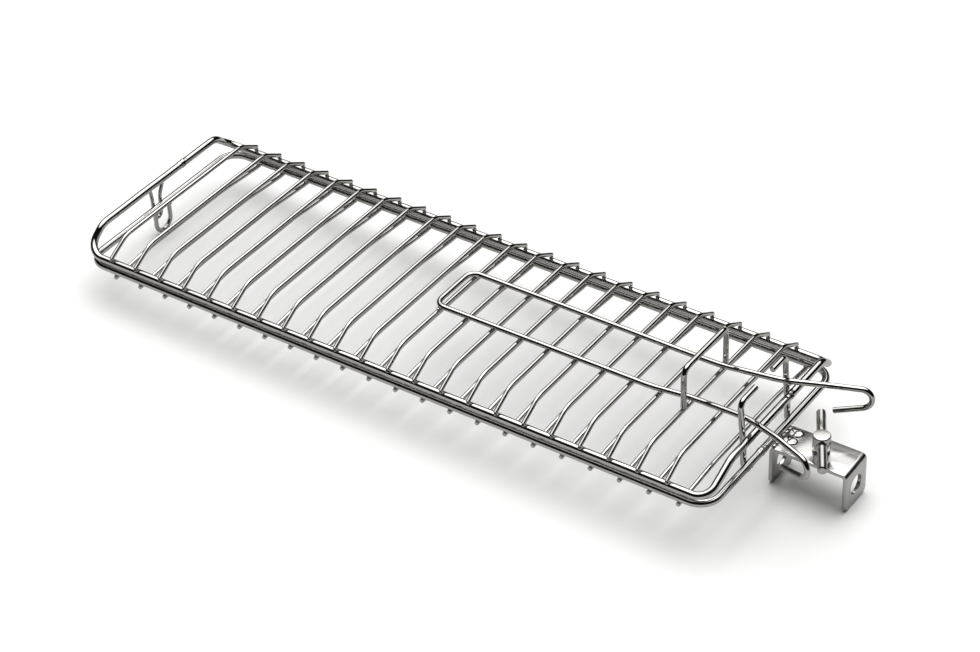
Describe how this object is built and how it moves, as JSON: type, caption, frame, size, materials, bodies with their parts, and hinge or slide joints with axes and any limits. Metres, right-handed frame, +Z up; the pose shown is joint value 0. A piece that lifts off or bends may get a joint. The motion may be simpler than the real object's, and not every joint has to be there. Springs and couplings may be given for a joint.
{
  "type": "rotisserie grill basket",
  "caption": "Flat wire rotisserie basket: hinged lid, sprung latch clip under two hooked posts, and a sheet bracket with a clamp screw for a spit rod.",
  "frame": {"origin": "middle of the part's bounding box in plan, on the level its lowest points stand on", "axes": "+X along the basket from the hinge to the spit bracket, +Y across it, to the left when looking along +X, +Z up"},
  "size_m": [0.527, 0.155, 0.0812],
  "materials": {
    "chrome_frame_wire": "bright chrome plate",
    "chrome_grid_wire": "bright chrome plate",
    "chrome_latch_wire": "bright chrome plate",
    "chrome_hinge_loop": "bright chrome plate, slightly duller",
    "chrome_sheet": "smooth chrome plate",
    "chrome_weld": "chrome plate over weld metal",
    "chrome_screw": "chrome plate, satin"
  },
  "bodies": {
    "basket": {"lower_frame": "chrome_frame_wire", "basket_wire_01": "chrome_grid_wire", "basket_wire_02": "chrome_grid_wire", "basket_wire_03": "chrome_grid_wire", "basket_wire_04": "chrome_grid_wire", "basket_wire_05": "chrome_grid_wire", "basket_wire_06": "chrome_grid_wire", "basket_wire_07": "chrome_grid_wire", "basket_wire_08": "chrome_grid_wire", "basket_wire_09": "chrome_grid_wire", "basket_wire_10": "chrome_grid_wire", "basket_wire_11": "chrome_grid_wire", "basket_wire_12": "chrome_grid_wire", "basket_wire_13": "chrome_grid_wire", "basket_wire_14": "chrome_grid_wire", "basket_wire_15": "chrome_grid_wire", "basket_wire_16": "chrome_grid_wire", "basket_wire_17": "chrome_grid_wire", "basket_wire_18": "chrome_grid_wire", "basket_wire_19": "chrome_grid_wire", "basket_wire_20": "chrome_grid_wire", "basket_wire_21": "chrome_grid_wire", "basket_wire_22": "chrome_grid_wire", "basket_hinge_loop": "chrome_hinge_loop", "hook_post_front": "chrome_frame_wire", "hook_post_back": "chrome_frame_wire", "spit_bracket": "chrome_sheet", "weld_bead": "chrome_weld", "clamp_boss": "chrome_screw"},
    "lid": {"lid_frame": "chrome_frame_wire", "lid_wire_01": "chrome_grid_wire", "lid_wire_02": "chrome_grid_wire", "lid_wire_03": "chrome_grid_wire", "lid_wire_04": "chrome_grid_wire", "lid_wire_05": "chrome_grid_wire", "lid_wire_06": "chrome_grid_wire", "lid_wire_07": "chrome_grid_wire", "lid_wire_08": "chrome_grid_wire", "lid_wire_09": "chrome_grid_wire", "lid_wire_10": "chrome_grid_wire", "lid_wire_11": "chrome_grid_wire", "lid_wire_12": "chrome_grid_wire", "lid_wire_13": "chrome_grid_wire", "lid_wire_14": "chrome_grid_wire", "lid_wire_15": "chrome_grid_wire", "lid_wire_16": "chrome_grid_wire", "lid_wire_17": "chrome_grid_wire", "lid_wire_18": "chrome_grid_wire", "lid_wire_19": "chrome_grid_wire", "lid_wire_20": "chrome_grid_wire", "lid_wire_21": "chrome_grid_wire", "lid_wire_22": "chrome_grid_wire", "lid_hinge_loop": "chrome_hinge_loop", "latch_guide_bail": "chrome_latch_wire", "latch_clip_yoke": "chrome_latch_wire"},
    "clip_leg_front": {"latch_clip_leg_front": "chrome_latch_wire"},
    "clip_leg_back": {"latch_clip_leg_back": "chrome_latch_wire"},
    "clamp_shank": {"clamp_screw_shank": "chrome_screw"},
    "clamp_screw": {"clamp_screw_head": "chrome_screw", "tommy_bar": "chrome_screw"}
  },
  "joints": [
    {"name": "lid_hinge", "type": "hinge", "parent": "basket", "child": "lid", "pos_m": [-0.25783, 0, 0.0304], "axis": [0, -1, 0], "range_deg": [0, 105], "deforming": ["latch_clip_leg_front", "latch_clip_leg_back"]},
    {"name": "latch_squeeze_front", "type": "hinge", "parent": "lid", "child": "clip_leg_front", "pos_m": [0.00248, -0.02, 0.0534], "axis": [0, 0, 1], "range_deg": [0, 4], "stiffness_Nm_per_rad": 4},
    {"name": "latch_squeeze_back", "type": "hinge", "parent": "lid", "child": "clip_leg_back", "pos_m": [0.00248, 0.02, 0.0534], "axis": [0, 0, -1], "range_deg": [0, 4], "stiffness_Nm_per_rad": 4},
    {"name": "clamp_screw_turn", "type": "hinge", "parent": "clamp_shank", "child": "clamp_screw", "pos_m": [0.24297, 0.0012, 0.0419], "axis": [0, 0, 1], "range_deg": [0, 2758.2]},
    {"name": "clamp_screw_travel", "type": "slide", "parent": "basket", "child": "clamp_shank", "axis": [0, 0, 1], "range_m": [0, 0.0096]}
  ],
  "couplings": [
    {"joint": "latch_squeeze_back", "follows": "latch_squeeze_front", "ratio": 1},
    {"joint": "clamp_screw_travel", "follows": "clamp_screw_turn", "m_per_rad": 0.00019894}
  ]
}
